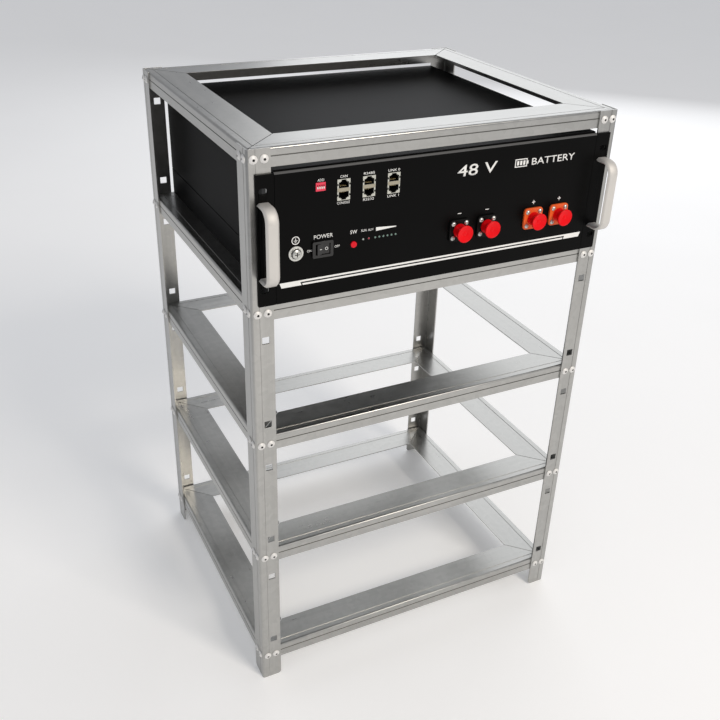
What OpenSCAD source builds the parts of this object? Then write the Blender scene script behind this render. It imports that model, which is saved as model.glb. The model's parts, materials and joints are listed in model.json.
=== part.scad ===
// 48 V rack battery: a 19-inch battery module in the top bay of an open galvanised rack.
// Millimetres, +Z up. The floor is z = 0 and the origin is under the middle of the whole object.

/* [Rack] */
// Overall width over the posts
rack_w = 500; // [498:1:506]
// Overall depth over the posts
rack_d = 424; // [422:1:480]
// Overall height
rack_h = 790; // [780:1:840]
// Height from one rail level to the next
level_pitch = 184; // [182:1:187]
// Width of a post's front or rear flange
post_w = 28; // [27:0.5:28]
// Width of a post's side flange
post_side_w = 30; // [26:1:36]
// Thickness of a post's sheet
post_t = 2; // [1.5:0.1:2]
// Width of a rail's top flange
rail_flange = 47; // [40:1:60]
// Height of a rail's outer face
rail_face_h = 22; // [20:1:22]
// Thickness of a rail's sheet
rail_t = 1.5; // [1.2:0.1:1.6]
// Radius of the rounded lower corners of the feet
foot_r = 5; // [2:0.5:8]

/* [Battery module] */
// Width of the case behind the front panel
case_w = 438; // [430:1:438]
// Height of the case
case_h = 158.5; // [158:0.5:161]
// Depth of the case behind the posts' front face
case_d = 418; // [400:1:420]
// Thickness of the case's sheet
case_t = 1.2; // [1:0.1:1.5]
// Height of the seam between the lower case and the upper cover
seam_h = 38; // [30:1:50]
// Width over both ears
ear_span = 482.6; // [482:0.1:483]
// Height of the ears
panel_h = 160; // [158:1:161]
// Thickness of the front panel and the ears
panel_t = 2.5; // [2.4:0.1:3]

/* [Handles] */
// Height of a handle between the middles of its legs
handle_h = 89.5; // [70:0.5:92]
// Distance from the ear to the middle of the grip
handle_out = 25.5; // [22:0.5:40]
// Width of the flattened bar
handle_w = 16; // [14:0.5:17.5]
// Thickness of the flattened bar
handle_t = 5; // [5:0.5:7]

/* [Travel] */
// Angle through which the power rocker tips
rocker_tilt = 20; // [10:1:20]

/* [Hidden] */
$fn = 48;
eps = 0.5;
steel = "#b4b4ae";
black = "#141414";
red = "#e8162a";

// Levels of the rack
level_count = 5;
level_tops = [for (i = [0:level_count - 1]) rack_h - i * level_pitch];
bend_r = 2.8;
bead_w = 1;
bead_depth = 0.5;
bead_from_bend = 9.5;
mitre_gap = 0.7;
corner_relief = 1.6;

// Thread-forming screws in pairs at each corner
screw_drop = 11.5;
screw_pair = [7.8, 20.5];
screw_d = 4.9;
screw_len = 4.8;
screw_head_d = 10;
screw_head_h = 2.8;
screw_rim_h = 0.7;
screw_hex = 3;
screw_hex_depth = 1.7;
post_hole_d = 5.5;
rail_hole_d = 5;

// Square cage-nut holes
cage_hole = 9.5;
ear_hole_span_x = 465.1;
ear_hole_heights = [19, 137];
ear_hole_w = 6.8;
ear_hole_len = 10;

// The module's frame: x from the middle, y from the posts' front face, z from the shelf
shelf_z = rack_h - level_pitch;
panel_face = -panel_t;
panel_z = -1;
cover_screw_x = [for (i = [-2:2]) i * 95];
ear_x = case_w / 2 + 0.6;
ear_leg_t = 1.5;
ear_leg_len = 34;
panel_drop = 2;
// Height of the ears, which end below the fold along the panel's top
ear_h = panel_h - 3;
fold_len = 14;
lower_fold_h = 2.5;
fold_half_w = case_w / 2 - case_t - 0.3;
panel_half_w = ear_x - 0.3;
// Gap between the case and the panel, and between the lower case and the cover
case_front = 0.5;
seam_gap = 1;
lip_h = 24;
lip_front = 20;
lip_hole_d = 3.2;
cover_hole_d = 3.6;
cover_screw_z = seam_h + 6;
// Radial clearance of a pin in its hole, and what a body gives way in a square opening
pin_clear = 0.05;
opening_clear = 0.05;
handle_x = ear_hole_span_x / 2;
handle_z = panel_z + 78.2;
handle_bend_r = 14;
// Thickness of the lens whose faces are flattened to the bar's thickness
handle_lens_t = 8;
handle_screw_r = 1.5;
handle_screw_head_r = 3.1;
handle_reach = panel_t + handle_out + handle_t / 2;
// The head's highest point is the rim of its socket
screw_rise = screw_head_h - screw_rim_h;
screw_dome_r = (screw_head_d * screw_head_d / 4 + screw_rise * screw_rise) / (2 * screw_rise);
screw_reach = screw_head_h - screw_dome_r + sqrt(screw_dome_r * screw_dome_r - screw_hex * screw_hex / 4);
// The posts' front face, so that the whole object's box is centred on y = 0
front_y = (handle_reach - rack_d - screw_reach) / 2;

// Places of the front panel's fittings: x from its middle, z from its lower edge
terminals = [["terminal_minus_1", 22, black], ["terminal_minus_2", 62, black],
             ["terminal_plus_1", 132.5, "#e8702a"], ["terminal_plus_2", 172.5, "#e8702a"]];
terminal_z = 57;
terminal_flange = 28;
terminal_flange_t = 3;
terminal_screw_span = 18.3;
barrel_r = 7.5;
barrel_h = 7;
barrel_bore_r = 5.2;
barrel_back_r = barrel_r + 2;
barrel_back = 20;
bore_depth = 12;
contact_r = 3;
contact_sunk = 3;
flange_screw_d = 2.9;
flange_hole_d = 3.2;
panel_hole_d = 3.1;
stud_end_y = 31.5;
small_board_y = 18.1;
cap_r = 8.8;
cap_lip_r = 11;
cap_len = 14.5;
cap_lip_h = 3;
cap_clear = 0.3;
port_x = [-136, -104, -72];
port_z = 128.5;
port_w = 16.2;
port_h = 25;
port_proud = 0.6;
port_depth = small_board_y - panel_face + port_proud;
socket_w = 12.6;
socket_h = 7;
socket_depth = 13;
socket_from_mid = 5.65;
latch_w = 6;
latch_h = 2.6;
latch_step_w = 8.6;
latch_step_h = 0.9;
dip_x = -164.5;
dip_z = 135.3;
dip_w = 12;
dip_h = 10;
dip_proud = 0.5;
dip_depth = small_board_y - panel_face + dip_proud;
dip_levers = 4;
dip_pitch = 2.54;
dip_slot_h = 4.6;
dip_lever_h = 2.2;
dip_lever_w = 1.3;
power_x = -162;
power_z = 61;
bezel_w = 26;
bezel_h = 20;
bezel_t = 2.8;
switch_w = 21.6;
switch_h = 16.6;
switch_depth = 19;
cavity_w = 18.6;
cavity_h = 13.6;
rocker_len = 16.8;
rocker_h = 13;
rocker_pivot_y = panel_face + 1.8;
trunnion_r = 1.4;
sw_x = -122;
sw_z = 60;
sw_r = 3.8;
sw_proud = 1.6;
sw_flange_r = 5;
sw_flange_t = 2.2;
sw_back = 8;
led_x = concat([-109.4, -102], [for (i = [0:5]) -93.6 + i * 5.45]);
led_z = 64.5;
led_r = 1.2;
earth_x = -195;
earth_z = 60;
earth_washer_r = 9;
earth_tooth_r = 6.4;
earth_bore_r = 3.1;
earth_stud_r = 2.95;
earth_stud_back = 16;
stack_gap = 0.05;

// Cells and what joins them
cell = [174, 40, 118];
cell_gap = 1;
cell_rows = 2;
cells_in_row = 8;
cell_count = 15;
cell_x = cell[0] / 2 + 4;
cell_y0 = 74;
cell_z0 = 4;
cell_post_r = 6;
cell_post_h = 4;
cell_post_x = 60;
board_y = 30;

function post_name(fr, lr) = str("post_", fr, "_", lr);
function rail_name(level, side) = str("rail_", level + 1, "_", side);
function lever_name(i) = str("dip_lever_", i + 1);
function cap_name(i) = str("dust_cap_", i + 1);
// Middle of cell i, counted along the left row and back along the right one
function cell_place(i) = [i < cells_in_row ? -cell_x : cell_x,
    cell_y0 + cell[1] / 2 + (i < cells_in_row ? i : 2 * cells_in_row - 1 - i) * (cell[1] + cell_gap),
    cell_z0];

ends = ["front", "rear"];
hands = ["left", "right"];
sides = concat(ends, hands);

// ---- Frames of reference ----

module in_rack() {
    translate([0, front_y, 0]) children();
}

module in_module() {
    translate([0, front_y, shelf_z]) children();
}

// A fitting's own frame: z is out of the panel's face, x to the right and y up
module on_panel(x, z) {
    translate([x, panel_face, panel_z + z]) rotate([90, 0, 0]) children();
}

// ---- 2D outlines ----

// Bent sheet with legs a along X and b along Y, its rounded outer bend at the origin
module angle_section(a, b, t) {
    difference() {
        union() {
            translate([bend_r, 0]) square([a - bend_r, t]);
            translate([0, bend_r]) square([t, b - bend_r]);
            intersection() {
                translate([bend_r, bend_r]) circle(bend_r);
                square(bend_r);
            }
        }
        translate([bend_r, bend_r]) circle(bend_r - t);
        translate([bead_from_bend, -eps]) square([bead_w, eps + bead_depth]);
        translate([-eps, bead_from_bend]) square([eps + bead_depth, bead_w]);
    }
}

// Rectangle w by h about the origin with corners of radius r
module rounded_rect(w, h, r) {
    square([w - 2 * r, h], center = true);
    square([w, h - 2 * r], center = true);
    for (x = [-1, 1], y = [-1, 1]) translate([x * (w / 2 - r), y * (h / 2 - r)]) circle(r);
}

// Horizontal slot about the origin
module slot_outline(len, w) {
    square([len - w, w], center = true);
    for (x = [-1, 1]) translate([x * (len - w) / 2, 0]) circle(d = w);
}

// What is cut from a square corner at the origin to round it: the corner points to +X, -Y
module corner_waste(r) {
    difference() {
        translate([-r, -eps]) square([r + eps, r + eps]);
        translate([-r, r]) circle(r);
    }
}

// Section of the handle's bar: a lens, pointed at both edges, with its faces flattened
module handle_section() {
    r = (handle_w * handle_w + handle_lens_t * handle_lens_t) / (4 * handle_lens_t);
    intersection() {
        translate([0, r - handle_lens_t / 2]) circle(r, $fn = 96);
        translate([0, handle_lens_t / 2 - r]) circle(r, $fn = 96);
        square([handle_w + 1, handle_t], center = true);
    }
}

// ---- Rack ----

// Front left post. The others are mirror images
module post_shape() {
    color(steel) difference() {
        linear_extrude(rack_h) angle_section(post_w, post_side_w, post_t);
        for (top = level_tops, s = screw_pair) translate([0, 0, top - screw_drop]) {
            translate([s, -eps, 0]) rotate([-90, 0, 0]) cylinder(d = post_hole_d, h = post_t + 2 * eps);
            translate([-eps, s, 0]) rotate([0, 90, 0]) cylinder(d = post_hole_d, h = post_t + 2 * eps);
        }
        for (i = [1:level_count - 1], z = ear_hole_heights)
            translate([(rack_w - ear_hole_span_x - cage_hole) / 2, -eps, level_tops[i] + z - cage_hole / 2])
                cube([cage_hole, post_t + 2 * eps, cage_hole]);
        translate([post_w, post_t + eps, 0]) rotate([90, 0, 0])
            linear_extrude(post_t + 2 * eps) corner_waste(foot_r);
        translate([-eps, post_side_w, 0]) rotate([90, 0, 90])
            linear_extrude(post_t + 2 * eps) corner_waste(foot_r);
    }
}

module post(end, hand) {
    in_rack() translate([0, end == "rear" ? rack_d : 0, 0])
        mirror([0, end == "rear" ? 1 : 0, 0])
        mirror([hand == "right" ? 1 : 0, 0, 0])
        translate([-rack_w / 2, 0, 0]) post_shape();
}

// Rail along +X with its outer face on y = 0 and its top on z = 0, mitred at both ends
module rail_shape(len) {
    color(steel) difference() {
        intersection() {
            rotate([90, 0, 90]) linear_extrude(len) mirror([0, 1])
                angle_section(rail_flange, rail_face_h, rail_t);
            translate([0, 0, -rail_face_h - eps]) linear_extrude(rail_face_h + 2 * eps)
                polygon([[corner_relief, -eps], [len - corner_relief, -eps],
                         [len - corner_relief, corner_relief - mitre_gap],
                         [len - rail_flange - eps - mitre_gap, rail_flange + eps],
                         [rail_flange + eps + mitre_gap, rail_flange + eps],
                         [corner_relief, corner_relief - mitre_gap]]);
        }
        for (s = screw_pair, x = [s - post_t, len - s + post_t])
            translate([x, -eps, -screw_drop]) rotate([-90, 0, 0])
                cylinder(d = rail_hole_d, h = rail_t + 2 * eps);
    }
}

module rail(level, side) {
    half_w = rack_w / 2 - post_t;
    in_rack() translate([0, 0, level_tops[level]]) {
        if (side == "front") translate([-half_w, post_t, 0]) rail_shape(2 * half_w);
        if (side == "rear") translate([-half_w, rack_d - post_t, 0]) mirror([0, 1, 0])
            rail_shape(2 * half_w);
        if (side == "left") translate([-half_w, post_t, 0]) mirror([1, -1, 0])
            rail_shape(rack_d - 2 * post_t);
        if (side == "right") translate([half_w, post_t, 0]) mirror([1, 0, 0]) mirror([1, -1, 0])
            rail_shape(rack_d - 2 * post_t);
    }
}

// Button-head screw with its seat on z = 0, its head up and its shank down
module button_screw(head_d, head_h, rim_h, shank_d, shank_len, hex, hex_depth) {
    rise = head_h - rim_h;
    dome_r = (head_d * head_d / 4 + rise * rise) / (2 * rise);
    difference() {
        union() {
            rotate_extrude() intersection() {
                translate([0, head_h - dome_r]) circle(dome_r, $fn = 96);
                square([head_d / 2, head_h]);
            }
            translate([0, 0, -shank_len]) cylinder(d = shank_d, h = shank_len + rim_h);
        }
        translate([0, 0, head_h - hex_depth]) cylinder(d = hex / cos(30), h = hex_depth + eps, $fn = 6);
    }
}

module frame_screw() {
    button_screw(screw_head_d, screw_head_h, screw_rim_h, screw_d, screw_len, screw_hex, screw_hex_depth);
}

module frame_screws() {
    color("#d8d8d2") in_rack() for (top = level_tops, s = screw_pair, hand = [-1, 1])
        translate([0, 0, top - screw_drop]) {
            translate([hand * (rack_w / 2 - s), 0, 0]) rotate([90, 0, 0]) frame_screw();
            translate([hand * (rack_w / 2 - s), rack_d, 0]) rotate([-90, 0, 0]) frame_screw();
            for (y = [s, rack_d - s])
                translate([hand * rack_w / 2, y, 0]) rotate([0, hand * 90, 0]) frame_screw();
        }
}

// ---- Battery module: case ----

// Tray that carries the cells, with a lip behind the seam
module lower_case() {
    lip_z = seam_h - lip_h / 2;
    color(black) in_module() difference() {
        union() {
            difference() {
                translate([-case_w / 2, case_front, 0])
                    cube([case_w, case_d - case_front, seam_h - seam_gap / 2]);
                translate([-case_w / 2 + case_t, -eps, case_t])
                    cube([case_w - 2 * case_t, case_d - case_t + eps, seam_h]);
            }
            for (x = [-1, 1]) translate([x * (case_w / 2 - 1.5 * case_t) - case_t / 2, lip_front, lip_z])
                cube([case_t, case_d - lip_front - case_t, lip_h]);
            translate([-case_w / 2 + 2 * case_t, case_d - 2 * case_t, lip_z])
                cube([case_w - 4 * case_t, case_t, lip_h]);
        }
        for (x = cover_screw_x) translate([x, case_d - 3 * case_t, cover_screw_z]) rotate([-90, 0, 0])
            cylinder(d = lip_hole_d, h = 3 * case_t);
    }
}

// Cover with its top, sides and rear wall
module upper_cover() {
    color(black) in_module() difference() {
        translate([-case_w / 2, case_front, seam_h + seam_gap / 2])
            cube([case_w, case_d - case_front, case_h - seam_h - seam_gap / 2]);
        translate([-case_w / 2 + case_t, -eps, -eps])
            cube([case_w - 2 * case_t, case_d - case_t + eps, case_h - case_t + eps]);
        for (x = cover_screw_x) translate([x, case_d - 2 * case_t, cover_screw_z]) rotate([-90, 0, 0])
            cylinder(d = cover_hole_d, h = 3 * case_t);
    }
}

module cover_screws() {
    color("#2a2a2a") in_module() for (x = cover_screw_x)
        translate([x, case_d, cover_screw_z]) rotate([-90, 0, 0])
            button_screw(6, 1.6, 0.4, 3, 2.2, 2, 1);
}

// ---- Battery module: front panel, ears and handles ----

// Section of the panel in Y and Z: a plate with a rounded fold along its top and a flange near its foot
module panel_section() {
    r = 3;
    h = panel_h - panel_drop;
    difference() {
        union() {
            square([panel_t, h - r]);
            translate([r, h - panel_t]) square([fold_len - r, panel_t]);
            translate([0, lower_fold_h]) square([fold_len, panel_t]);
            translate([r, h - r]) intersection() {
                circle(r);
                translate([-r, -0.1]) square([r, r + 0.1]);
            }
        }
        translate([r, h - r]) circle(r - panel_t);
    }
}

module front_panel() {
    cut = panel_t + 2 * eps;
    color(black) in_module() difference() {
        translate([-panel_half_w, panel_face, panel_z]) rotate([90, 0, 90])
            linear_extrude(2 * panel_half_w) panel_section();
        for (x = [fold_half_w, -panel_half_w - eps]) translate([x, 0, panel_z - eps])
            cube([panel_half_w + eps - fold_half_w, fold_len, panel_h + 2 * eps]);
        for (t = terminals) on_panel(t[1], terminal_z) translate([0, 0, -cut + eps]) {
            cylinder(r = barrel_back_r + 0.2, h = cut);
            terminal_corners() cylinder(d = panel_hole_d, h = cut);
        }
        for (x = port_x) on_panel(x, port_z) translate([0, 0, -cut / 2 + eps])
            cube([port_w, port_h, cut], center = true);
        on_panel(dip_x, dip_z) translate([0, 0, -cut / 2 + eps])
            cube([dip_w, dip_h, cut], center = true);
        on_panel(power_x, power_z) translate([0, 0, -cut / 2 + eps])
            cube([switch_w, switch_h, cut], center = true);
        on_panel(sw_x, sw_z) translate([0, 0, -cut + eps]) cylinder(r = sw_r + 2 * pin_clear, h = cut);
        for (x = led_x) on_panel(x, led_z) translate([0, 0, -cut + eps])
            cylinder(r = led_r + pin_clear, h = cut);
        on_panel(earth_x, earth_z) translate([0, 0, -cut + eps]) cylinder(r = earth_bore_r, h = cut);
    }
}

// Right ear. The left one is its mirror image
module ear_shape() {
    color(black) in_module() difference() {
        translate([0, panel_face, panel_z]) union() {
            translate([ear_x, 0, 0]) cube([ear_span / 2 - ear_x, panel_t, ear_h]);
            translate([case_w / 2 + opening_clear, panel_t, 1.5]) cube([ear_leg_t, ear_leg_len, ear_h - 3]);
        }
        for (z = ear_hole_heights) translate([handle_x, panel_face - eps, z]) rotate([-90, 0, 0])
            linear_extrude(panel_t + 2 * eps) slot_outline(ear_hole_len, ear_hole_w);
        for (z = [-1, 1]) translate([handle_x, 0, handle_z + z * handle_h / 2]) rotate([90, 0, 0])
            handle_screw(0.15);
    }
}

module ear(hand) {
    mirror([hand == "left" ? 1 : 0, 0, 0]) ear_shape();
}

// Countersunk screw from the ear's back face, grown by gap all round to cut its hole
module handle_screw(gap = 0) {
    translate([0, 0, -gap])
        cylinder(r1 = handle_screw_head_r + 2 * gap, r2 = handle_screw_r + gap, h = 2 + gap);
    cylinder(r = handle_screw_r + gap, h = panel_t + (gap > 0 ? eps : 7.5));
}

module handle_screws() {
    color("#c8c8c8") in_module() for (x = [-1, 1], z = [-1, 1])
        translate([x * handle_x, -0.05, handle_z + z * handle_h / 2]) rotate([90, 0, 0]) handle_screw();
}

// Flattened lens bar bent to a U: a straight grip, two quarter bends and two legs
module handle_shape() {
    leg = handle_out - handle_bend_r;
    grip_y = panel_face - handle_out;
    color("#d8d6d0") difference() {
        union() {
            translate([0, grip_y, 0]) linear_extrude(handle_h - 2 * handle_bend_r, center = true)
                handle_section();
            for (m = [0, 1]) mirror([0, 0, m]) {
                translate([0, panel_face, handle_h / 2]) rotate([90, 0, 0])
                    linear_extrude(leg) handle_section();
                translate([0, grip_y + handle_bend_r, handle_h / 2 - handle_bend_r]) rotate([0, 90, 0])
                    rotate([0, 0, 180]) rotate_extrude(angle = 90, $fn = 96) translate([handle_bend_r, 0])
                    rotate(90) handle_section();
            }
        }
        for (z = [-1, 1]) translate([0, panel_face + eps, z * handle_h / 2]) rotate([90, 0, 0])
            cylinder(r = handle_screw_r + 0.025, h = 8 + eps);
    }
}

module handle(hand) {
    in_module() translate([hand == "left" ? -handle_x : handle_x, 0, handle_z]) handle_shape();
}

// ---- Battery module: power terminals ----

module terminal_corners() {
    for (x = [-1, 1], y = [-1, 1])
        translate([x * terminal_screw_span / 2, y * terminal_screw_span / 2, 0]) children();
}

// Flanged receptacle with a bore for the plug
module terminal(x, paint) {
    color(paint) in_module() on_panel(x, terminal_z) difference() {
        union() {
            linear_extrude(terminal_flange_t) rounded_rect(terminal_flange, terminal_flange, 4.5);
            cylinder(r = barrel_r, h = terminal_flange_t + barrel_h);
            translate([0, 0, -barrel_back]) cylinder(r = barrel_back_r, h = barrel_back + eps);
        }
        translate([0, 0, -bore_depth])
            cylinder(r = barrel_bore_r, h = bore_depth + terminal_flange_t + barrel_h + eps);
        translate([0, 0, -barrel_back - eps]) cylinder(r = contact_r + pin_clear, h = barrel_back);
        translate([0, 0, -eps]) terminal_corners()
            cylinder(d = flange_hole_d, h = terminal_flange_t + 2 * eps);
    }
}

// Pin inside each receptacle, with a stud at its back
module terminal_contacts() {
    color("#c9a45a") in_module() for (t = terminals) on_panel(t[1], terminal_z) {
        translate([0, 0, panel_face - stud_end_y])
            cylinder(r = contact_r,
                     h = stud_end_y - panel_face + terminal_flange_t + barrel_h - contact_sunk);
    }
}

module terminal_screws() {
    color("#d8d8d8") in_module() for (t = terminals) on_panel(t[1], terminal_z)
        translate([0, 0, terminal_flange_t]) terminal_corners()
        button_screw(6, 2.2, 0.6, flange_screw_d, 8, 2.5, 1.2);
}

// Soft cap over a receptacle's barrel, with a dished pull rim
module dust_cap(x) {
    bore_r = barrel_r + cap_clear;
    color(red) in_module() on_panel(x, terminal_z) translate([0, 0, terminal_flange_t + 0.2])
        rotate_extrude() polygon([[bore_r, 0], [cap_r, 0], [cap_r - 0.6, cap_len - cap_lip_h - 3.5],
            [cap_r + 0.2, cap_len - cap_lip_h - 1.5], [cap_lip_r - 0.4, cap_len - cap_lip_h],
            [cap_lip_r, cap_len - 0.6], [cap_lip_r - 0.7, cap_len], [cap_lip_r - 1.8, cap_len - 0.5],
            [3, cap_len - 2.4], [1.4, cap_len - 1.9], [0, cap_len - 1.8], [0, barrel_h + 0.4],
            [bore_r, barrel_h + 0.4]]);
}

// ---- Battery module: ports, switches and lamps ----

// Socket for a plug with its latch notch upward, about the socket's middle
module socket_outline() {
    square([socket_w, socket_h], center = true);
    for (step = [[latch_w, latch_h], [latch_step_w, latch_step_h]])
        translate([-step[0] / 2, 0]) square([step[0], socket_h / 2 + step[1]]);
}

// Three stacked pairs of sockets
module rj45_ports() {
    color("#b8b8b0") in_module() for (x = port_x) on_panel(x, port_z) difference() {
        translate([0, 0, port_proud - port_depth / 2])
            cube([port_w - 2 * opening_clear, port_h - 2 * opening_clear, port_depth], center = true);
        for (m = [0, 1]) mirror([0, m, 0]) translate([0, socket_from_mid, port_proud - socket_depth])
            linear_extrude(socket_depth + eps) socket_outline();
    }
}

function dip_lever_x(i) = (i - (dip_levers - 1) / 2) * dip_pitch;

module dip_body() {
    color("#e04058") in_module() on_panel(dip_x, dip_z) difference() {
        translate([0, 0, dip_proud - dip_depth / 2])
            cube([dip_w - 2 * opening_clear, dip_h - 2 * opening_clear, dip_depth], center = true);
        for (i = [0:dip_levers - 1]) translate([dip_lever_x(i), 0, 0])
            cube([dip_lever_w + 0.3, dip_slot_h, 4], center = true);
    }
}

// Lever at the lower end of its slot
module dip_lever(i) {
    color("white") in_module() on_panel(dip_x, dip_z)
        translate([dip_lever_x(i), (dip_lever_h - dip_slot_h) / 2 + 0.15, -0.3])
        cube([dip_lever_w, dip_lever_h, 3], center = true);
}

// Bezel and body in one, with a bearing for the rocker above and below
module power_switch_body() {
    color("#202020") in_module() difference() {
        on_panel(power_x, power_z) {
            linear_extrude(bezel_t) rounded_rect(bezel_w, bezel_h, 2);
            translate([0, 0, -switch_depth / 2])
                cube([switch_w - 2 * opening_clear, switch_h - 2 * opening_clear, switch_depth + 0.02],
                     center = true);
        }
        on_panel(power_x, power_z) translate([0, 0, bezel_t + eps - 7])
            cube([cavity_w, cavity_h, 14 + bezel_t], center = true);
        translate([power_x, rocker_pivot_y, panel_z + power_z])
            cylinder(r = trunnion_r + pin_clear, h = cavity_h + 2, center = true);
    }
}

// Rocker with its right half pressed: two flats that meet at a shallow angle over the pivot
module power_rocker() {
    half = rocker_len / 2;
    color("#181818") in_module() translate([power_x, rocker_pivot_y, panel_z + power_z])
        rotate([0, 0, rocker_tilt / 2]) {
            linear_extrude(rocker_h, center = true) polygon([[-half, -4.6], [0, -3.3], [half, -4.6],
                [half, -1], [3, 4], [-3, 4], [-half, -1]]);
            cylinder(r = trunnion_r, h = cavity_h + 1.6, center = true);
        }
}

module sw_button() {
    color(red) in_module() on_panel(sw_x, sw_z) {
        translate([0, 0, -sw_back]) cylinder(r = sw_r, h = sw_back + sw_proud);
        translate([0, 0, -panel_t - sw_flange_t - 0.1]) cylinder(r = sw_flange_r, h = sw_flange_t);
    }
}

// Clear pins in the panel's holes, joined by a bar behind it
module led_pipes() {
    first = led_x[0];
    last = led_x[len(led_x) - 1];
    color("#d8e8dc") in_module() on_panel((first + last) / 2, led_z) {
        for (x = led_x) translate([x - (first + last) / 2, 0, -panel_t - 1])
            cylinder(r = led_r, h = panel_t + 1.3);
        translate([0, 0, -panel_t - 2.5]) cube([last - first + 6, 5, 4], center = true);
    }
}

// Washer, toothed washer, cross-head screw and the nut behind the panel
module earth_terminal() {
    washer_t = 1.2;
    toothed_t = 0.8;
    toothed_z = washer_t + stack_gap;
    head_z = toothed_z + toothed_t + stack_gap;
    color("#c8c8c4") in_module() on_panel(earth_x, earth_z) {
        difference() {
            cylinder(r = earth_washer_r, h = washer_t);
            translate([0, 0, -eps]) cylinder(r = earth_bore_r, h = washer_t + 2 * eps);
        }
        translate([0, 0, toothed_z]) difference() {
            union() {
                cylinder(r = earth_tooth_r, h = toothed_t);
                for (a = [0:30:330]) rotate(a) translate([earth_tooth_r - 0.8, -0.8, 0])
                    cube([1.6, 1.6, toothed_t]);
            }
            translate([0, 0, -eps]) cylinder(r = earth_bore_r, h = toothed_t + 2 * eps);
        }
        translate([0, 0, head_z]) difference() {
            union() {
                rotate_extrude() intersection() {
                    translate([0, -6]) circle(9.3, $fn = 96);
                    square([5.2, 3.4]);
                }
                translate([0, 0, -earth_stud_back]) cylinder(r = earth_stud_r, h = earth_stud_back + 1);
            }
            for (a = [0, 90]) rotate(a) translate([-3, -0.6, 1.4]) cube([6, 1.2, 3]);
        }
        translate([0, 0, -panel_t - 5]) difference() {
            cylinder(r = 5.6, h = 4.8, $fn = 6);
            translate([0, 0, -eps]) cylinder(r = earth_stud_r + 2 * pin_clear, h = 6);
        }
    }
}

// ---- Battery module: inside ----

// Prismatic cells, each with two posts
module cells() {
    color("#3a5a8c") in_module() for (i = [0:cell_count - 1]) translate(cell_place(i)) {
        translate([-cell[0] / 2, -cell[1] / 2, 0]) cube(cell);
        for (x = [-1, 1]) translate([x * cell_post_x, 0, cell[2] - 0.5])
            cylinder(r = cell_post_r, h = cell_post_h + 0.5);
    }
}

// End plates and a middle wall that hold the cells in place, on a base sheet
module cell_frame() {
    row_len = cells_in_row * (cell[1] + cell_gap);
    wall_h = cell[2] - 20;
    color("#8c8c8c") in_module() translate([0, cell_y0, case_t + 0.1]) {
        translate([-case_w / 2 + 12, -4, 0]) cube([case_w - 24, row_len + 8, cell_z0 - case_t - 0.2]);
        for (y = [-4, row_len + 0.5]) translate([-case_w / 2 + 30, y, 0]) cube([case_w - 60, 2.5, wall_h]);
        translate([-1.5, 0, 0]) cube([3, row_len, wall_h]);
    }
}

// Links from each cell to the next, on top of the posts
module busbars() {
    top = cell_z0 + cell[2] + cell_post_h;
    color("#c07840") in_module() for (i = [0:cell_count - 2]) {
        a = cell_place(i);
        b = cell_place(i + 1);
        sign = i % 2 == 0 ? 1 : -1;
        if (a[0] == b[0]) translate([a[0] + sign * cell_post_x - 8, min(a[1], b[1]) - 8, top])
            cube([16, abs(b[1] - a[1]) + 16, 2]);
        else {
            // Bridge between the rows, raised over the post that it passes
            for (x = [a[0] - cell_post_x, b[0] - cell_post_x])
                translate([x - 8, a[1] - 8, top]) cube([16, 16, 5]);
            translate([a[0] - cell_post_x - 8, a[1] - 8, top + 4]) cube([b[0] - a[0] + 16, 16, 2]);
        }
    }
}

// Battery management board with its heat sink and its parts, and the small board behind the panel
module control_board() {
    color("#1d5c36") in_module() translate([0, board_y, 0]) {
        translate([-205, 14, 24]) cube([410, 1.6, 108]);
        for (i = [0:9]) translate([-18 + i * 18, 15.6, 60]) cube([12, 9, 22]);
        translate([-24, 6, 92]) cube([196, 8, 30]);
        for (x = [-180, -140, -100]) translate([x, 4, 30]) cube([26, 10, 18]);
        for (x = [-200, 188]) translate([x, 15.6, case_t + 0.1]) cube([12, 3, 40]);
    }
    // Small board for the ports, the switches and the lamps
    color("#1d5c36") in_module() {
        translate([-203, small_board_y, 48]) cube([148, 1.6, 102]);
        translate([sw_x - 4, 7.5, panel_z + sw_z - 4]) cube([8, small_board_y - 7.5, 8]);
        translate([led_x[0] - 2, 5.5, panel_z + led_z - 2]) cube([47, small_board_y - 5.5, 4]);
    }
}

// Copper bars from the terminals' studs to the board
module power_bars() {
    color("#c07840") in_module() for (pair = [[0, 1], [2, 3]]) {
        x0 = terminals[pair[0]][1];
        x1 = terminals[pair[1]][1];
        translate([x0 - 8, stud_end_y, panel_z + terminal_z - 8]) cube([x1 - x0 + 16, 3, 16]);
        translate([(x0 + x1) / 2 - 6, stud_end_y + 3, panel_z + terminal_z - 6])
            cube([12, board_y + 14 - stud_end_y - 3, 12]);
    }
}

// ---- Drawing ----

for (e = ends, h = hands)
    post(e, h);
for (l = [0:level_count - 1], s = sides)
    rail(l, s);
frame_screws();
lower_case();
upper_cover();
front_panel();
ear("left");  // ear_left
ear("right");  // ear_right
handle("left");  // handle_left
handle("right");  // handle_right
handle_screws();
for (t = terminals)
    terminal(t[1], t[2]);
terminal_contacts();
terminal_screws();
for (i = [0:3])
    dust_cap(terminals[i][1]);
rj45_ports();
dip_body();
for (i = [0:dip_levers - 1])
    dip_lever(i);
power_switch_body();
power_rocker();
sw_button();
led_pipes();
earth_terminal();
cells();
cell_frame();
busbars();
control_board();
power_bars();
cover_screws();
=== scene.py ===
"""Looks of the rack battery: a black 19-inch battery module in the top bay of a galvanised rack."""

import json
import math

import bmesh
import bpy
from mathutils import Matrix, Vector


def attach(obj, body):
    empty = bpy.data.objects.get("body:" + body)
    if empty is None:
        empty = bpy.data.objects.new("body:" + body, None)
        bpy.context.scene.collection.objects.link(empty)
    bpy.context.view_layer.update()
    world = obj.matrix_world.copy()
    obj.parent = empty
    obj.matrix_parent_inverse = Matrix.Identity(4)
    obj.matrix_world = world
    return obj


MM = 0.001

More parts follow.
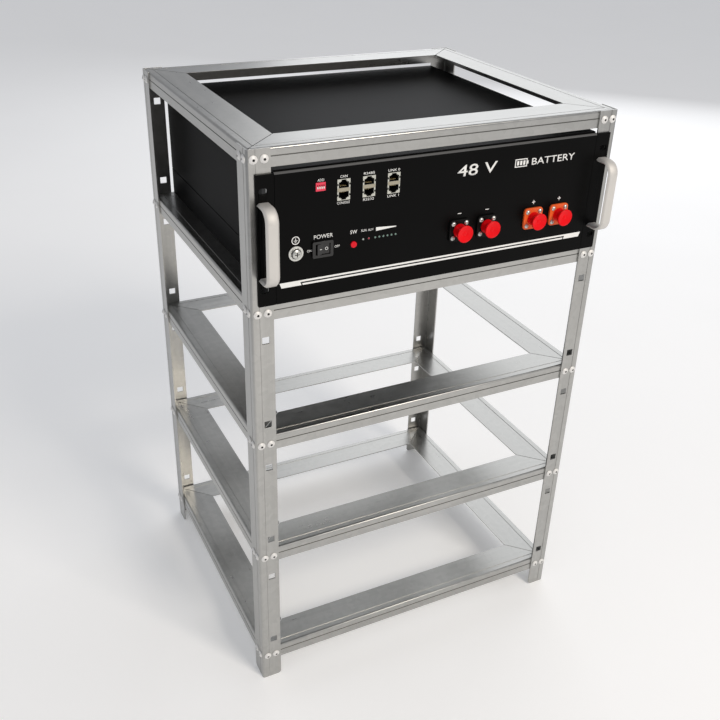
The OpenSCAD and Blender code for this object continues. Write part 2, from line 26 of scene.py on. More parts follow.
# Places in the row frame, in millimetres
PANEL_Y = -200.57       # the front panel's face
PANEL_Z = 605.0         # the front panel's lower edge
PANEL_H = 158
PANEL_TOP = PANEL_Z + PANEL_H
FOLD_R = 3              # radius of the fold along the panel's top
FRONT_Y = -198.07       # the posts' front face
RACK_W, RACK_D, RACK_H = 500, 424, 790
LEVEL_PITCH = 184
LEVELS = 5
BEAD_DROP = 10          # from a level's top down to the middle of its rails' grooves
BEAD_HALF_WIDTH = 0.7
SCREW_DROP = 11.5       # from a level's top down to its screws
SCREW_PAIR = (7.8, 20.5)
SOCKET_FLOOR = 1.12     # height of the floor of a screw head's socket over its seat
SHADE_T = 1.0           # thickness of the dark plate of painted shade on it
SHADE_R = 1.55

# Places and sizes on the panel, in millimetres. Places count from its middle and its lower edge
PORT_X = (-136, -104, -72)
PORT_Z = 128.5
SOCKET_W, SOCKET_H = 12.6, 7.0
SOCKET_FROM_MID = 5.65  # from a pair's middle to the middle of each socket
LAMP_X = (-109.4, -102.0) + tuple(-93.6 + 5.45 * i for i in range(6))
LAMP_Z = 64.5
TERMINAL_X = (22, 62, 132.5, 172.5)
EARTH = (-195, 60)
ROCKER = (-162, 61)

# Heights over the panel's face, in millimetres
INK = 0.06              # thickness of the printing
SHIELD_FACE = 0.6       # the ports' shield
EARTH_WASHER_FACE = 2.06
EARTH_HEAD_FACE = 3.52
LAMP_FACE = 0.32
LAMP_TOP = 0.78
ROCKER_PIVOT = -1.8

# Camera, in metres and radians. Its shift is a share of the frame's width
CAMERA_AT = (-0.5665, -1.0951, 1.0727)
CAMERA_YAW = math.radians(27.22)
CAMERA_PITCH = math.radians(29.03)
CAMERA_ROLL = math.radians(1.85)
SENSOR_MM = 36
LENS_MM = 45.755
LENS_SHIFT = (-0.002361, -0.008194)

WHITE = (0.84, 0.84, 0.82)
PANEL_BLACK = (0.0020, 0.0020, 0.0020)
# grey of rubbed marks on the coat, and of the painted highlight along the panel's fold
RUBBED_AND_HIGHLIGHT_GREY = (0.10, 0.10, 0.10)


# ---- Materials ----

class Shader:
    """A Principled material whose textures read the row frame's metres."""

    def __init__(self, name, colour, metallic, roughness):
        self.mat = bpy.data.materials.new(name)
        self.mat.use_nodes = True
        self.tree = self.mat.node_tree
        self.bsdf = self.tree.nodes["Principled BSDF"]
        self.bsdf.inputs["Base Color"].default_value = (*colour, 1)
        self.bsdf.inputs["Metallic"].default_value = metallic
        self.bsdf.inputs["Roughness"].default_value = roughness
        self.coords = self.add("ShaderNodeTexCoord").outputs["Object"]

    def add(self, kind, **values):
        node = self.tree.nodes.new(kind)
        for key, value in values.items():
            setattr(node, key, value)
        return node

    def join(self, source, target):
        self.tree.links.new(source, target)

    def set(self, **values):
        for key, value in values.items():
            self.bsdf.inputs[key.replace("_", " ")].default_value = value

    def blend(self, *parts):
        """Sum of values, each times its weight."""
        total = self.math("MULTIPLY", *parts[0])
        for part in parts[1:]:
            total = self.math("ADD", total, self.math("MULTIPLY", *part))
        return total

    def stretched(self, scale):
        """Coordinates times a scale for each axis."""
        node = self.add("ShaderNodeMapping")
        node.inputs["Scale"].default_value = scale
        self.join(self.coords, node.inputs["Vector"])
        return node.outputs["Vector"]

    def noise(self, scale, detail, vector=None):
        node = self.add("ShaderNodeTexNoise")
        node.inputs["Scale"].default_value = scale
        node.inputs["Detail"].default_value = detail
        self.join(vector or self.coords, node.inputs["Vector"])
        return node.outputs["Fac"]

    def cells(self, scale):
        """A random value for each of the cells of a Voronoi pattern."""
        node = self.add("ShaderNodeTexVoronoi")
        node.inputs["Scale"].default_value = scale
        self.join(self.coords, node.inputs["Vector"])
        split = self.add("ShaderNodeSeparateColor")
        self.join(node.outputs["Color"], split.inputs["Color"])
        return split.outputs["Red"]

    def edges(self, scale, vector):
        """Distance to the nearest edge between the cells of a Voronoi pattern."""
        node = self.add("ShaderNodeTexVoronoi", feature="DISTANCE_TO_EDGE")
        node.inputs["Scale"].default_value = scale
        self.join(vector, node.inputs["Vector"])
        return node.outputs["Distance"]

    def drop_from(self, top_mm):
        """Distance below a height of the row frame."""
        split = self.add("ShaderNodeSeparateXYZ")
        self.join(self.coords, split.inputs["Vector"])
        return self.math("SUBTRACT", top_mm * MM, split.outputs["Z"])

    def spread(self, value, low, high, start=0.0, end=1.0):
        """value from start to end, mapped to low to high."""
        node = self.add("ShaderNodeMapRange")
        node.inputs["From Min"].default_value = start
        node.inputs["From Max"].default_value = end
        node.inputs["To Min"].default_value = low
        node.inputs["To Max"].default_value = high
        self.join(value, node.inputs["Value"])
        return node.outputs["Result"]

    def math(self, operation, *values):
        node = self.add("ShaderNodeMath", operation=operation)
        for socket, value in zip(node.inputs, values):
            if isinstance(value, (int, float)):
                socket.default_value = value
            else:
                self.join(value, socket)
        return node.outputs[0]

    def tint(self, value, dark, light):
        """Base colour from dark to light with value from 0 to 1. Gives the ramp's stops."""
        ramp = self.add("ShaderNodeValToRGB")
        ramp.color_ramp.elements[0].color = (*dark, 1)
        ramp.color_ramp.elements[1].color = (*light, 1)
        self.join(value, ramp.inputs["Fac"])
        self.join(ramp.outputs["Color"], self.bsdf.inputs["Base Color"])
        return ramp.color_ramp.elements

    def gloss(self, value):
        self.join(value, self.bsdf.inputs["Roughness"])

    def bump(self, value, depth_mm, strength=1.0):
        node = self.add("ShaderNodeBump")
        node.inputs["Distance"].default_value = depth_mm * MM
        node.inputs["Strength"].default_value = strength
        self.join(value, node.inputs["Height"])
        self.join(node.outputs["Normal"], self.bsdf.inputs["Normal"])


def scaled(colour, k):
    return tuple(c * k for c in colour)


def bead_painted_shade(s):
    """Mask of painted shade: 1 in the grooves along the rails' upright faces and 0 elsewhere."""
    below_level = s.math("MODULO", s.drop_from(RACK_H), LEVEL_PITCH * MM)
    return s.math("COMPARE", below_level, BEAD_DROP * MM, BEAD_HALF_WIDTH * MM)


def galvanised_steel(along):
    """Zinc sheet with rolling lines along one axis, 0 to 2, a faint spangle and cloudy patches."""
    s = Shader("galvanised_" + "xyz"[along], (0.45, 0.447, 0.43), 1.0, 0.3)
    broad, narrow = [90, 90, 90], [380, 380, 380]
    broad[along], narrow[along] = 2, 6
    bands = s.noise(1, 3, s.stretched(broad))
    lines = s.noise(1, 2, s.stretched(narrow))
    spangle = s.cells(130)
    cloud = s.noise(7, 3)
    mix = s.blend((bands, 0.4), (cloud, 0.3), (lines, 0.15), (spangle, 0.15))
    shade = s.spread(mix, 0.2, 1.0, 0.25, 0.75)
    # painted shade: the grooves along the rails' upright faces are darkened to the ramp's darkest grey
    if along != 2:
        shade = s.math("MULTIPLY", shade, s.math("SUBTRACT", 1, bead_painted_shade(s)))
    stops = s.tint(shade, (0.14, 0.139, 0.13), (0.50, 0.497, 0.48))
    stops.new(0.2).color = (0.36, 0.358, 0.345, 1)
    s.gloss(s.spread(mix, 0.24, 0.40, 0.25, 0.75))
    s.bump(lines, 0.006, 0.3)
    lengthways = s.add("ShaderNodeCombineXYZ")
    lengthways.inputs[along].default_value = 1
    s.join(lengthways.outputs["Vector"], s.bsdf.inputs["Tangent"])
    s.set(Anisotropic=0.5)
    return s.mat


def zinc_screws():
    """Pale zinc plate with a fine grain."""
    s = Shader("zinc_screws", (0.80, 0.79, 0.77), 0.25, 0.5)
    grain = s.noise(900, 3)
    s.tint(grain, (0.72, 0.71, 0.69), (0.84, 0.83, 0.81))
    s.gloss(s.spread(grain, 0.44, 0.6))
    s.bump(grain, 0.02, 0.4)
    return s.mat


def bent_coords(s):
    """Coordinates moved by a slow noise, so that straight lines come out curved."""
    slow = s.noise(3.0, 2)
    everyway = s.add("ShaderNodeCombineXYZ")
    for axis in "XYZ":
        s.join(slow, everyway.inputs[axis])
    offset = s.add("ShaderNodeVectorMath", operation="SCALE")
    offset.inputs["Scale"].default_value = 0.35
    s.join(everyway.outputs["Vector"], offset.inputs[0])
    moved = s.add("ShaderNodeVectorMath", operation="ADD")
    s.join(s.coords, moved.inputs[0])
    s.join(offset.outputs["Vector"], moved.inputs[1])
    return moved.outputs["Vector"]


def powder_coat(name, colour, roughness, specular, fold_top=None):
    """Black powder coat: an orange-peel surface with faint curved scratches and dusty patches.

    A fold whose top is at fold_top gets a painted highlight, a grey band along its rounding."""
    s = Shader(name, colour, 0.0, roughness)
    s.set(Specular_IOR_Level=specular)
    peel = s.noise(1300, 2)
    scratch = s.spread(s.edges(13, bent_coords(s)), 1.0, 0.0, 0.0, 0.004)
    worn = s.spread(s.noise(7, 3), 0.0, 1.0, 0.48, 0.7)
    mark = s.math("MULTIPLY", scratch, worn)
    dust = s.spread(s.noise(5, 5), 0.0, 0.4, 0.4, 0.8)
    wear_and_highlight = s.math("ADD", s.math("MULTIPLY", mark, 0.5), dust)
    # painted highlight: a grey band along the fold's rounding, just below fold_top
    if fold_top:
        painted_fold_highlight = s.math("COMPARE", s.drop_from(fold_top), FOLD_R / 2 * MM, 0.4 * FOLD_R * MM)
        wear_and_highlight = s.math("ADD", wear_and_highlight, painted_fold_highlight)
    stops = s.tint(wear_and_highlight, colour, RUBBED_AND_HIGHLIGHT_GREY)
    stops.new(0.95).color = (*scaled(colour, 2.4), 1)
    smooth = s.spread(peel, roughness - 0.05, roughness + 0.07)
    s.gloss(s.math("ADD", smooth, s.math("MULTIPLY", mark, 0.2)))
    s.bump(peel, 0.02, 0.6)
    return s.mat


def satin_metal(name, colour, roughness, along):
    """Satin or plated metal with fine lines along one axis: 0 for X, 1 for Y, 2 for Z."""
    s = Shader(name, colour, 0.75, roughness)
    scale = [900, 900, 900]
    scale[along] = 30
    brushed = s.noise(1, 4, s.stretched(scale))
    cloud = s.noise(30, 3)
    mix = s.blend((brushed, 0.5), (cloud, 0.5))
    s.tint(mix, scaled(colour, 0.88), scaled(colour, 1.08))
    s.gloss(s.spread(brushed, roughness - 0.07, roughness + 0.09))
    s.bump(brushed, 0.02, 0.4)
    return s.mat


def plastic(name, colour, roughness, grain=900, depth=0.03, soft=0.0, coat=0.0, specular=0.3):
    """Moulded plastic or rubber with a fine grain and slight colour clouds."""
    s = Shader(name, colour, 0.0, roughness)
    fine = s.noise(grain, 3)
    cloud = s.noise(60, 4)
    mix = s.blend((fine, 0.4), (cloud, 0.6))
    s.tint(mix, scaled(colour, 0.84), scaled(colour, 1.12))
    s.gloss(s.spread(fine, roughness - 0.06, roughness + 0.08))
    s.bump(fine, depth, 0.5)
    s.set(Specular_IOR_Level=specular)
    if soft:
        s.set(Subsurface_Weight=soft, Subsurface_Scale=0.002)
    if coat:
        s.set(Coat_Weight=coat)
    return s.mat


def lamp(name, colour, glow):
    """The lens of an indicator lamp, hardly lit."""
    s = Shader(name, colour, 0.0, 0.25)
    fine = s.noise(1500, 2)
    s.tint(fine, scaled(colour, 0.85), colour)
    s.gloss(s.spread(fine, 0.18, 0.32))
    s.set(Emission_Color=(*colour, 1), Emission_Strength=glow)
    return s.mat


MATERIALS = {
    "galvanised_x": galvanised_steel(0),
    "galvanised_y": galvanised_steel(1),
    "galvanised_z": galvanised_steel(2),
    "zinc_screws": zinc_screws(),
    "black_case": powder_coat("black_case", (0.004, 0.004, 0.0042), 0.42, 0.025),
    "black_panel": powder_coat("black_panel", PANEL_BLACK, 0.34, 0.06),
    # the front panel's coat, with a painted highlight along its top fold
    "panel_painted_highlight": powder_coat("panel_painted_highlight", PANEL_BLACK, 0.34, 0.06, PANEL_TOP),
    "silver_handle": satin_metal("silver_handle", (0.70, 0.68, 0.65), 0.66, 2),
    "bright_hardware": satin_metal("bright_hardware", (0.62, 0.62, 0.59), 0.3, 0),
    "dark_screws": satin_metal("dark_screws", (0.05, 0.05, 0.05), 0.4, 0),
    "black_plastic": plastic("black_plastic", (0.004, 0.004, 0.004), 0.42, specular=0.12),
    "orange_plastic": plastic("orange_plastic", (0.85, 0.13, 0.025), 0.42),
    "contact_metal": satin_metal("contact_metal", (0.80, 0.62, 0.30), 0.25, 1),
    "red_cap": plastic("red_cap", (0.80, 0.0015, 0.006), 0.38, 700, 0.02, soft=0.05, specular=0.16),
    "port_shield": satin_metal("port_shield", (0.58, 0.58, 0.52), 0.35, 0),
    "red_switch": plastic("red_switch", (0.78, 0.055, 0.10), 0.4),
    "red_button": plastic("red_button", (0.70, 0.003, 0.015), 0.28, coat=0.2, specular=0.12),
    "white_lever": plastic("white_lever", (0.82, 0.80, 0.80), 0.4),
    "rocker_black": plastic("rocker_black", (0.006, 0.006, 0.006), 0.15, depth=0.01, specular=0.5),
    "lamp_clear": plastic("lamp_clear", (0.30, 0.36, 0.32), 0.3),
    "cell_case": plastic("cell_case", (0.03, 0.10, 0.34), 0.35),
    "inner_frame": satin_metal("inner_frame", (0.45, 0.45, 0.46), 0.4, 0),
    "copper": satin_metal("copper", (0.72, 0.34, 0.18), 0.35, 1),
    "board_green": plastic("board_green", (0.015, 0.12, 0.045), 0.35),
    "print_white": plastic("print_white", WHITE, 0.5),
    "port_beige": plastic("port_beige", (0.36, 0.33, 0.25), 0.5),
    # black plastic of the sockets' linings, also the colour of the painted shade in screw sockets and slots
    "socket_black_and_painted_shade": plastic("socket_black_and_painted_shade", (0.006, 0.006, 0.006), 0.5),
    "lamp_white": lamp("lamp_white", (0.36, 0.38, 0.36), 0.03),
    "lamp_red": lamp("lamp_red", (0.42, 0.02, 0.05), 0.05),
    "lamp_green": lamp("lamp_green", (0.16, 0.26, 0.22), 0.03),
}


# ---- The frame ----

def soften_edges(obj, width_mm, segments=2):
    """Welds the mesh's corners and bevels its sharp edges."""
    weld = obj.modifiers.new("weld", "WELD")
    weld.merge_threshold = 2e-6
    bevel = obj.modifiers.new("edges", "BEVEL")
    bevel.width = width_mm * MM
    bevel.segments = segments
    bevel.limit_method = "ANGLE"
    bevel.angle_limit = math.radians(35)
    bevel.use_clamp_overlap = True


def material_for(node, slot):
    """A slot's material.

    The bezel is as glossy as the rocker, the panel has a painted highlight along its fold, and the steel's
    lines run along each piece."""
    if node == "power_switch_body":
        return MATERIALS["rocker_black"]
    if node == "front_panel":
        return MATERIALS["panel_painted_highlight"]
    if slot != "galvanised_steel":
        return MATERIALS[slot]
    if node.startswith("post"):
        return MATERIALS["galvanised_z"]
    return MATERIALS["galvanised_x" if node.endswith(("front", "rear")) else "galvanised_y"]


def dress_frame(frame):
    """Each CAD node gets its slot's material, and soft edges where they show."""
    slots = {p["node"]: p["material_slot"] for p in frame["record"]["subparts"]}
    bevel_mm = {"galvanised_steel": 0.3, "silver_handle": 0.4, "black_case": 0.4, "black_panel": 0.7,
                "black_plastic": 0.5, "orange_plastic": 0.4, "rocker_black": 0.3}
    for name, obj in frame["nodes"].items():
        slot = slots[name]
        obj.data.materials.clear()
        obj.data.materials.append(material_for(name, slot))
        if name == "power_switch_body":
            soften_edges(obj, 1.0, 4)
        elif slot in bevel_mm:
            soften_edges(obj, bevel_mm[slot])


# ---- Meshes on the panel ----

def on_panel(x, z, out=0.0):
    """A point on the front panel: x from its middle, z from its lower edge and out of its face, in mm."""
    return Vector((x, PANEL_Y - out, PANEL_Z + z)) * MM


def over_panel(height):
    """A place function for things that stand that far out of the panel's face."""
    return lambda x, z, depth: on_panel(x, z, height + depth)


def finish_piece(name, bm, material, body):
    """Makes a mesh object that moves with a body."""
    mesh = bpy.data.meshes.new(name)
    bmesh.ops.recalc_face_normals(bm, faces=bm.faces)
    bm.to_mesh(mesh)
    bm.free()
    obj = bpy.data.objects.new(name, mesh)
    bpy.context.collection.objects.link(obj)
    mesh.materials.append(MATERIALS[material])
    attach(obj, body)


def slab(bm, outline, place, thickness):
    """Closed plate with that outline of (x, z) pairs. place maps x, z and depth to a point."""
    back = [bm.verts.new(place(x, z, 0.0)) for x, z in outline]
    front = [bm.verts.new(place(x, z, thickness)) for x, z in outline]
    bm.faces.new(front)
    bm.faces.new(back[::-1])
    for i in range(len(outline)):
        j = (i + 1) % len(outline)
        bm.faces.new((back[i], back[j], front[j], front[i]))


def circle(radius, steps):
    """Points (x, z) round the origin."""
    angles = (2 * math.pi * i / steps for i in range(steps))
    return [(radius * math.cos(a), radius * math.sin(a)) for a in angles]


def ring(bm, cx, cz, outer, inner, place, thickness, steps=40):
    """Closed flat ring with those outer and inner radii."""
    loops = []
    for radius in (outer, inner):
        for depth in (0.0, thickness):
            loops.append([bm.verts.new(place(cx + x, cz + z, depth)) for x, z in circle(radius, steps)])
    outer_back, outer_front, inner_back, inner_front = loops
    for i in range(steps):
        j = (i + 1) % steps
        bm.faces.new((outer_front[i], outer_front[j], inner_front[j], inner_front[i]))
        bm.faces.new((outer_back[i], outer_back[j], outer_front[j], outer_front[i]))
        bm.faces.new((inner_front[i], inner_front[j], inner_back[j], inner_back[i]))
        bm.faces.new((inner_back[i], inner_back[j], outer_back[j], outer_back[i]))


def box_outline(cx, cz, w, h):
    """Corners (x, z) of a rectangle round (cx, cz)."""
    left, right = cx - w / 2, cx + w / 2
    low, high = cz - h / 2, cz + h / 2
    return [(left, low), (right, low), (right, high), (left, high)]


def flat_words(words):
    """A flat mesh of the words, slightly bold."""
    curve = bpy.data.curves.new("words", "FONT")
    curve.body = words
    curve.fill_mode = "FRONT"
    curve.resolution_u = 3
    curve.offset = 0.006
    curve.align_x = "CENTER"
    obj = bpy.data.objects.new("words", curve)
    bpy.context.collection.objects.link(obj)
    flat = bpy.data.meshes.new_from_object(obj.evaluated_get(bpy.context.evaluated_depsgraph_get()))
    bpy.data.objects.remove(obj)
    return flat


def lettering(bm, words, cx, cz, height, width, lean=0.0):
    """Words on the panel centred on (cx, cz), with capitals of that height, stretched to that width."""
    flat = flat_words(words)
    xs = [v.co.x for v in flat.vertices]
    scale_z = height / max(v.co.y for v in flat.vertices)
    scale_x = width / (max(xs) - min(xs))
    middle = (max(xs) + min(xs)) / 2
    start = len(bm.verts)
    bm.from_mesh(flat)
    bm.verts.ensure_lookup_table()
    added = bm.verts[start:]
    new = set(added)
    faces = [f for f in bm.faces if f.verts[0] in new]
    for v in added:
        z = v.co.y * scale_z - height / 2
        v.co = on_panel(cx + (v.co.x - middle) * scale_x + lean * z, cz + z)
    raised = bmesh.ops.extrude_face_region(bm, geom=faces)["geom"]
    lift = on_panel(0, 0, INK) - on_panel(0, 0)
    bmesh.ops.translate(bm, verts=[g for g in raised if isinstance(g, bmesh.types.BMVert)], vec=lift)
    bpy.data.meshes.remove(flat)


def printed_marks():
    """White printing on the panel, as one thin mesh."""
    bm = bmesh.new()
    small = 2.9         # height of the small capitals
    words = [("POWER", -160.5, 76, 5.0, 24.0), ("SW", -122, 75.4, 4.5, 9.0),
             ("ON", -178.2, 60.4, small, 5.6), ("OFF", -143.0, 61, small, 6.6),
             ("RUN", -108.8, 75.3, 2.8, 6.6), ("ALM", -100, 75.1, 2.8, 6.6),
             ("ADD", -164.3, 142.9, small, 8.0)]
    label_gap = 15.4    # from a pair of ports' middle to its labels
    upper = (("CAN", 9), ("RS485", 14), ("LINK 0", 15))
    lower = (("CONSOLE", 16), ("RS232", 14), ("LINK 1", 15))
    for x, above, below in zip(PORT_X, upper, lower):
        words.append((above[0], x, PORT_Z + label_gap, small, above[1]))
        words.append((below[0], x, PORT_Z - label_gap, small, below[1]))
    for text, x, z, height, width in words:
        lettering(bm, text, x, z, height, width)
    lettering(bm, "48 V", 42.5, 131.8, 14, 56, lean=0.06)
    lettering(bm, "BATTERY", 155, 132, 8.5, 66)
    battery_pictogram(bm, 106, 132)
    earth_symbol(bm, EARTH[0], 75.7)
    terminal_signs(bm, 78)
    charge_wedge = [(-92.8, 72.4), (-65.9, 74.0), (-65.9, 75.0), (-92.8, 76.9)]
    slab(bm, charge_wedge, on_panel, INK)
    stripes(bm)
    finish_piece("printed_marks", bm, "print_white", "module")


def battery_pictogram(bm, cx, cz):
    """A battery on its side with three bars of charge."""
    for side in (-1, 1):
        slab(bm, box_outline(cx, cz + side * 4.6, 18, 1.2), on_panel, INK)
        slab(bm, box_outline(cx + side * 8.4, cz, 1.2, 8.0), on_panel, INK)
    slab(bm, box_outline(cx + 9.9, cz, 1.6, 4), on_panel, INK)
    for i in (-1, 0, 1):
        slab(bm, box_outline(cx + i * 4.6, cz, 3.0, 5.4), on_panel, INK)


def terminal_signs(bm, z):
    """A dash over each terminal, made a cross over the last two."""
    for x in TERMINAL_X:
        slab(bm, box_outline(x, z, 5, 1.0), on_panel, INK)
    for x in TERMINAL_X[2:]:
        for side in (-1, 1):
            slab(bm, box_outline(x, z + side * 1.5, 1.0, 2.0), on_panel, INK)


def earth_symbol(bm, cx, cz):
    """A stem over three bars, in a ring."""
    ring(bm, cx, cz, 5.0, 4.0, on_panel, INK)
    slab(bm, box_outline(cx, cz + 1.5, 0.7, 2.6), on_panel, INK)
    for width, z in ((4.6, 0.0), (3.0, -1.2), (1.4, -2.4)):
        slab(bm, box_outline(cx, cz + z - 0.2, width, 0.6), on_panel, INK)


def stripes(bm):
    """Two lines that join to a slanted thick one at each end."""
    low, high = 19.3, 25.7
    line = 2.3
    slab(bm, [(-187, high - line), (187, high - line), (187, high), (-187, high)], on_panel, INK)
    slab(bm, [(-186.5, low), (186.5, low), (187.2, low + line), (-187.2, low + line)], on_panel, INK)
    for side in (-1, 1):
        end = [(213, low), (215.5, high), (187, high), (187, high - line), (189.4, high - line), (188.0, low)]
        slab(bm, [(side * x, z) for x, z in end], on_panel, INK)


# ---- Pieces that finish the fittings ----

def port_details():
    """The beige block between the two sockets of each pair, and the sockets' spring contacts."""
    block = bmesh.new()
    wires = bmesh.new()
    for x in PORT_X:
        slab(block, box_outline(x, PORT_Z, 15.2, 4.1), over_panel(SHIELD_FACE), 0.12)
        for side in (-1, 1):
            for i in range(8):
                contact(wires, x + (i - 3.5) * 1.02, PORT_Z + side * SOCKET_FROM_MID, side)
    finish_piece("port_blocks", block, "port_beige", "module")
    finish_piece("port_contacts", wires, "contact_metal", "module")


def socket_shape(cx, cz, side, gap):
    """Outline of a socket with its latch notch away from the pair's middle, drawn in by gap."""
    half, low, high = SOCKET_W / 2 - gap, -SOCKET_H / 2 + gap, SOCKET_H / 2 - gap
    step, step_z = 4.3 - gap, SOCKET_H / 2 + 0.9 - gap
    notch, notch_z = 3.0 - gap, SOCKET_H / 2 + 2.6 - gap
    right = [(half, low), (half, high), (step, high), (step, step_z), (notch, step_z), (notch, notch_z)]
    outline = right + [(-x, z) for x, z in reversed(right)]
    return [(cx + x, cz + side * z) for x, z in outline]


def socket_liners():
    """A black lining in each socket, thin walls and a floor, and the windows in the shield beside it."""
    bm = bmesh.new()
    mouth = 0.35
    skins = ((0.03, -12.3), (0.28, -12.0))      # gap to the socket's wall and height of the closed end
    for x in PORT_X:
        for side in (-1, 1):
            loops = []
            for gap, end in skins:
                shape = socket_shape(x, PORT_Z + side * SOCKET_FROM_MID, side, gap)
                for depth in (mouth, end):
                    loops.append([bm.verts.new(on_panel(a, z, depth)) for a, z in shape])
            outer_mouth, outer_end, inner_mouth, inner_end = loops
            count = len(outer_mouth)
            for a, b in ((outer_end, outer_mouth), (outer_mouth, inner_mouth), (inner_mouth, inner_end)):
                for i in range(count):
                    j = (i + 1) % count
                    bm.faces.new((a[i], a[j], b[j], b[i]))
            bm.faces.new(inner_end)
            bm.faces.new(outer_end)
            for edge in (-1, 1):
                window = box_outline(x + edge * 7.35, PORT_Z + side * (SOCKET_FROM_MID + 0.6), 1.3, 2.2)
                slab(bm, window, over_panel(SHIELD_FACE), 0.08)
    finish_piece("socket_liners", bm, "socket_black_and_painted_shade", "module")


def recess_painted_shades():
    """Painted shade: dark plates on the floors of the sockets of the rack's screws."""
    bm = bmesh.new()
    for level in range(LEVELS):
        z = RACK_H - level * LEVEL_PITCH - SCREW_DROP
        for hand in (-1, 1):
            for inset in SCREW_PAIR:
                x = hand * (RACK_W / 2 - inset)
                shade(bm, (x, FRONT_Y, z), (0, -1, 0))
                shade(bm, (x, FRONT_Y + RACK_D, z), (0, 1, 0))
                for y in (FRONT_Y + inset, FRONT_Y + RACK_D - inset):
                    shade(bm, (hand * RACK_W / 2, y, z), (hand, 0, 0))
    finish_piece("recess_painted_shades", bm, "socket_black_and_painted_shade", "rack")


def shade(bm, seat, out):
    """A hexagonal plate of painted shade on the floor of a head's socket, for a head seated there."""
    seat, out, up = Vector(seat), Vector(out), Vector((0, 0, 1))
    across = out.cross(up)

    def place(x, z, height):
        return (seat + out * (SOCKET_FLOOR + height) + across * x + up * z) * MM

    slab(bm, circle(SHADE_R, 6), place, SHADE_T)


def contact(bm, x, z, side):
    """One sprung wire that slopes from a socket's floor towards its middle."""
    path = [(-9.5, -2.9), (-6.0, -2.6), (-3.2, -1.5), (-2.0, -1.9)]
    wire = 0.34
    rows = []
    for depth, drop in path:
        rows.append([bm.verts.new(on_panel(x + dx, z + side * (drop + dz), depth))
                     for dx, dz in box_outline(0, 0, wire, wire)])
    for a, b in zip(rows, rows[1:]):
        for i in range(4):
            j = (i + 1) % 4
            bm.faces.new((a[i], a[j], b[j], b[i]))
    bm.faces.new(rows[0])
    bm.faces.new(rows[-1][::-1])


def earth_details():
    """Painted shade: dark plates in the slots of the earth screw's head, and a dark ring round the head on
    its toothed washer.
    """
    slots = bmesh.new()
    # painted shade: dark plates in the bottoms of the head's cross slots
    for size in ((5.8, 1.1), (1.1, 5.8)):
        slab(slots, box_outline(*EARTH, *size), over_panel(EARTH_HEAD_FACE), 0.12)
    finish_piece("earth_slot_painted_shade", slots, "socket_black_and_painted_shade", "module")
    # painted shade: a dark ring round the head where it meets the toothed washer
    washer_shade = bmesh.new()
    ring(washer_shade, *EARTH, 6.3, 5.3, over_panel(EARTH_WASHER_FACE), 0.05)
    finish_piece("earth_ring_painted_shade", washer_shade, "dark_screws", "module")


def lamp_lenses():
    """A small dome over each lamp's pin."""
    kinds = ["lamp_white", "lamp_red"] + ["lamp_green"] * 6
    steps, rings = 20, 5
    foot_r, rise = 1.1, 0.4
    for i, (x, kind) in enumerate(zip(LAMP_X, kinds)):
        bm = bmesh.new()
        rows = []
        for r in range(rings):
            angle = r / rings * math.pi / 2
            out = LAMP_FACE + rise * math.sin(angle)
            rows.append([bm.verts.new(on_panel(x + dx, LAMP_Z + dz, out))
                         for dx, dz in circle(foot_r * math.cos(angle), steps)])
        top = bm.verts.new(on_panel(x, LAMP_Z, LAMP_TOP))
        for a, b in zip(rows, rows[1:]):
            for k in range(steps):
                bm.faces.new((a[k], a[(k + 1) % steps], b[(k + 1) % steps], b[k]))
        for k in range(steps):
            bm.faces.new((rows[-1][k], rows[-1][(k + 1) % steps], top))
        bm.faces.new(rows[0][::-1])
        for face in bm.faces:
            face.smooth = True
        finish_piece(f"lamp_lens_{i + 1}", bm, kind, "module")


def rocker_marks():
    """A dash and a ring on the rocker's two halves."""
    pivot = on_panel(*ROCKER, ROCKER_PIVOT)
    turn = Matrix.Rotation(math.radians(10), 3, "Z")
    middle_out = 3.3                # from the pivot to the rocker's face at its middle
    slope = math.atan2(1.3, 8.4)    # of each half's face against the line between its ends
    gap = 0.01                      # between the marks and the face

    def place_on(side):
        def place(x, z, depth):
            along = Vector((side * math.cos(slope), -math.sin(slope), 0))
            out = Vector((-side * math.sin(slope), -math.cos(slope), 0))
            local = Vector((0, -middle_out, z)) + along * (side * x) + out * (depth + gap)
            return pivot + turn @ (local * MM)
        return place

    bm = bmesh.new()
    ring(bm, 4.4, 0, 1.9, 1.35, place_on(1), INK)
    slab(bm, box_outline(-3.4, 0, 3.2, 0.6), place_on(-1), INK)
    finish_piece("rocker_marks", bm, "print_white", "power_rocker")


# ---- Stage ----

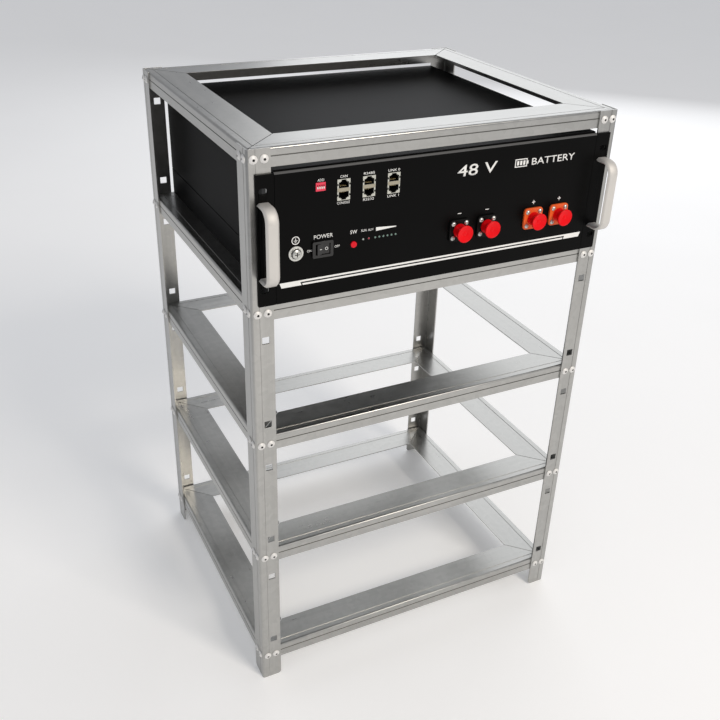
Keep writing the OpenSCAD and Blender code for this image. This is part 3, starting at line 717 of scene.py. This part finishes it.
def floor_and_lights():
    """A pale floor, a warm light from the front, a cooler one from behind and a pale sky."""
    bpy.ops.mesh.primitive_plane_add(size=40, location=(0, 0, 0))
    floor = bpy.context.object
    floor.name = "floor"
    s = Shader("pale_floor", (0.88, 0.88, 0.88), 0.0, 0.6)
    s.tint(s.noise(3, 2), (0.86, 0.86, 0.86), (0.90, 0.90, 0.90))
    s.set(Emission_Color=(1, 1, 1, 1), Emission_Strength=0.18)
    floor.data.materials.append(s.mat)
    lights = [("key", (0.9, -3.0, 2.9), (0, 0, 0.4), 1.2, 82, (1.0, 0.925, 0.83)),
              ("back", (2.1, 2.3, 1.7), (0, 0, 0.5), 2.8, 30, (0.97, 0.985, 1.0))]
    for name, at, aim, size, watts, colour in lights:
        data = bpy.data.lights.new(name, "AREA")
        data.size = size
        data.energy = watts
        data.color = colour
        obj = bpy.data.objects.new(name, data)
        bpy.context.collection.objects.link(obj)
        obj.location = at
        obj.rotation_mode = "QUATERNION"
        obj.rotation_quaternion = (Vector(aim) - Vector(at)).to_track_quat("-Z", "Y")
    world = bpy.data.worlds.new("studio")
    bpy.context.scene.world = world
    world.use_nodes = True
    sky = world.node_tree.nodes["Background"]
    sky.inputs["Color"].default_value = (0.93, 0.95, 1.0, 1)
    sky.inputs["Strength"].default_value = 0.45
    bpy.context.scene.view_settings.view_transform = "Standard"


def camera():
    """The camera that the photograph was fitted to."""
    yaw, pitch, roll = CAMERA_YAW, CAMERA_PITCH, CAMERA_ROLL
    ahead = Vector((math.sin(yaw) * math.cos(pitch), math.cos(yaw) * math.cos(pitch), -math.sin(pitch)))
    level = Vector((math.cos(yaw), -math.sin(yaw), 0))
    upright = level.cross(ahead)
    right = math.cos(roll) * level + math.sin(roll) * upright
    up = math.cos(roll) * upright - math.sin(roll) * level
    data = bpy.data.cameras.new("camera")
    data.sensor_width = SENSOR_MM
    data.lens = LENS_MM
    data.shift_x, data.shift_y = LENS_SHIFT
    obj = bpy.data.objects.new("camera", data)
    bpy.context.collection.objects.link(obj)
    obj.matrix_world = Matrix.Translation(CAMERA_AT) @ Matrix((right, up, -ahead)).transposed().to_4x4()
    bpy.context.scene.camera = obj


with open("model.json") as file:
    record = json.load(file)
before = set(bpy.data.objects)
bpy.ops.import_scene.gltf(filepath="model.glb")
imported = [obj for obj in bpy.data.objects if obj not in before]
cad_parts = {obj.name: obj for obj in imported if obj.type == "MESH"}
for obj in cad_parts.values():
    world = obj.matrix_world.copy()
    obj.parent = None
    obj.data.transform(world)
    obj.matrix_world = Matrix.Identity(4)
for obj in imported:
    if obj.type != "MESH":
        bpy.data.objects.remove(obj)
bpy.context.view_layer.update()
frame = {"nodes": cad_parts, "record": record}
dress_frame(frame)
printed_marks()
port_details()
socket_liners()
recess_painted_shades()
earth_details()
lamp_lenses()
rocker_marks()
floor_and_lights()
camera()
